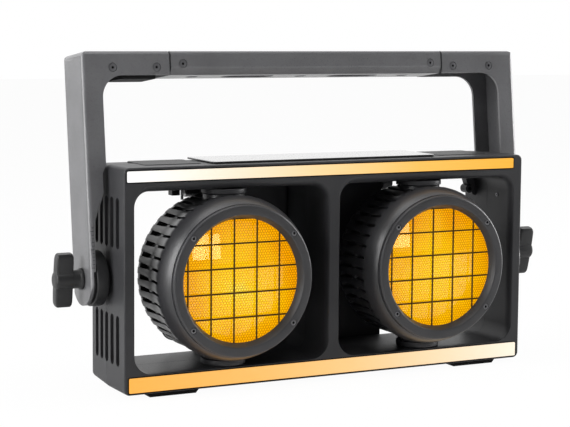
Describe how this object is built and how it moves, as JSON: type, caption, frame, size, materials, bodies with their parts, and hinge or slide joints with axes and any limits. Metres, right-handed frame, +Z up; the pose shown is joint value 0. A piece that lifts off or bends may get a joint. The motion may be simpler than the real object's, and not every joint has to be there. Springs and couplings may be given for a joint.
{
  "type": "audience blinder light",
  "caption": "Stage blinder light: a shallow rectangular frame with round finned lamp heads that pan, amber lenses behind wire grilles, light strips and a tilting yoke.",
  "frame": {"origin": "middle of the bounding box at floor level, under the feet, with the light standing on its feet", "axes": "+Z up, -Y the way the lamps shine, +X the right side seen from the front"},
  "size_m": [0.5732, 0.1938, 0.3422],
  "materials": {
    "frame": "fine-grained charcoal moulding",
    "warm_strip": "lit diffuser, warm white to amber",
    "amber_strip": "lit diffuser, amber to cream",
    "circuit_board": "green circuit board",
    "gloss_panel": "gloss black",
    "rubber": "matte black rubber",
    "black_plastic": "matte black moulding",
    "steel": "zinc plated",
    "sheet_case": "plain sheet",
    "gray_plastic": "light gray nylon",
    "yoke": "fine gray powder coat",
    "lamp_casting": "charcoal powder coat on a die casting",
    "ring_casting": "charcoal powder coat",
    "wire": "dark coated wire",
    "amber_lens": "amber honeycomb glass",
    "reflector": "polished",
    "emitter": "lamp emitter on its base"
  },
  "bodies": {
    "housing": {"front_frame": "frame", "rear_frame": "frame", "light_strip_top": "warm_strip", "light_strip_bottom": "amber_strip", "strip_board_top": "circuit_board", "strip_board_bottom": "circuit_board", "top_panel": "gloss_panel", "foot_front_left": "rubber", "foot_front_right": "rubber", "foot_rear_left": "rubber", "foot_rear_right": "rubber", "friction_disc_left": "black_plastic", "friction_disc_right": "black_plastic", "pivot_stud_left": "steel", "pivot_stud_right": "steel", "control_tray": "frame", "control_cover": "frame", "display_window": "gloss_panel", "control_board": "circuit_board", "power_in_socket": "black_plastic", "power_out_socket": "black_plastic", "data_in_socket": "black_plastic", "data_out_socket": "black_plastic", "fuse_holder": "black_plastic", "safety_eyelet": "steel", "power_supply": "sheet_case", "gland_left": "gray_plastic", "gland_right": "gray_plastic", "lamp_left_top_swivel": "frame", "lamp_left_bottom_swivel": "frame", "lamp_left_lead": "rubber", "lamp_right_top_swivel": "frame", "lamp_right_bottom_swivel": "frame", "lamp_right_lead": "rubber"},
    "yoke": {"yoke_arm_left": "yoke", "yoke_arm_right": "yoke", "cross_bar": "yoke", "bar_joiner_left": "steel", "bar_joiner_right": "steel"},
    "lamp_left": {"lamp_left_head": "lamp_casting", "lamp_left_front_ring": "ring_casting", "lamp_left_grille": "wire", "lamp_left_lens": "amber_lens", "lamp_left_reflector": "reflector", "lamp_left_module": "emitter", "lamp_left_rear_cover": "lamp_casting"},
    "knob_left": {"knob_left": "black_plastic"},
    "lamp_right": {"lamp_right_head": "lamp_casting", "lamp_right_front_ring": "ring_casting", "lamp_right_grille": "wire", "lamp_right_lens": "amber_lens", "lamp_right_reflector": "reflector", "lamp_right_module": "emitter", "lamp_right_rear_cover": "lamp_casting"},
    "knob_right": {"knob_right": "black_plastic"},
    "menu_button_1": {"menu_button_1": "rubber"},
    "menu_button_2": {"menu_button_2": "rubber"},
    "menu_button_3": {"menu_button_3": "rubber"},
    "menu_button_4": {"menu_button_4": "rubber"}
  },
  "joints": [
    {"name": "lamp_left_pan", "type": "hinge", "parent": "housing", "child": "lamp_left", "pos_m": [-0.1165, -0.04694, 0.1155], "axis": [0, 0, 1], "range_deg": [-20, 20]},
    {"name": "lamp_right_pan", "type": "hinge", "parent": "housing", "child": "lamp_right", "pos_m": [0.1165, -0.04694, 0.1155], "axis": [0, 0, 1], "range_deg": [-20, 20]},
    {"name": "yoke_tilt", "type": "hinge", "parent": "housing", "child": "yoke", "pos_m": [0, -0.01344, 0.1155], "axis": [1, 0, 0], "continuous": true},
    {"name": "knob_left_turn", "type": "hinge", "parent": "housing", "child": "knob_left", "pos_m": [-0.27, -0.01344, 0.1155], "axis": [-1, 0, 0], "continuous": true},
    {"name": "knob_right_turn", "type": "hinge", "parent": "housing", "child": "knob_right", "pos_m": [0.27, -0.01344, 0.1155], "axis": [1, 0, 0], "continuous": true},
    {"name": "menu_button_1_press", "type": "slide", "parent": "housing", "child": "menu_button_1", "axis": [0, -1, 0], "range_m": [0, 0.001], "stiffness_N_per_m": 400},
    {"name": "menu_button_2_press", "type": "slide", "parent": "housing", "child": "menu_button_2", "axis": [0, -1, 0], "range_m": [0, 0.001], "stiffness_N_per_m": 400},
    {"name": "menu_button_3_press", "type": "slide", "parent": "housing", "child": "menu_button_3", "axis": [0, -1, 0], "range_m": [0, 0.001], "stiffness_N_per_m": 400},
    {"name": "menu_button_4_press", "type": "slide", "parent": "housing", "child": "menu_button_4", "axis": [0, -1, 0], "range_m": [0, 0.001], "stiffness_N_per_m": 400}
  ]
}
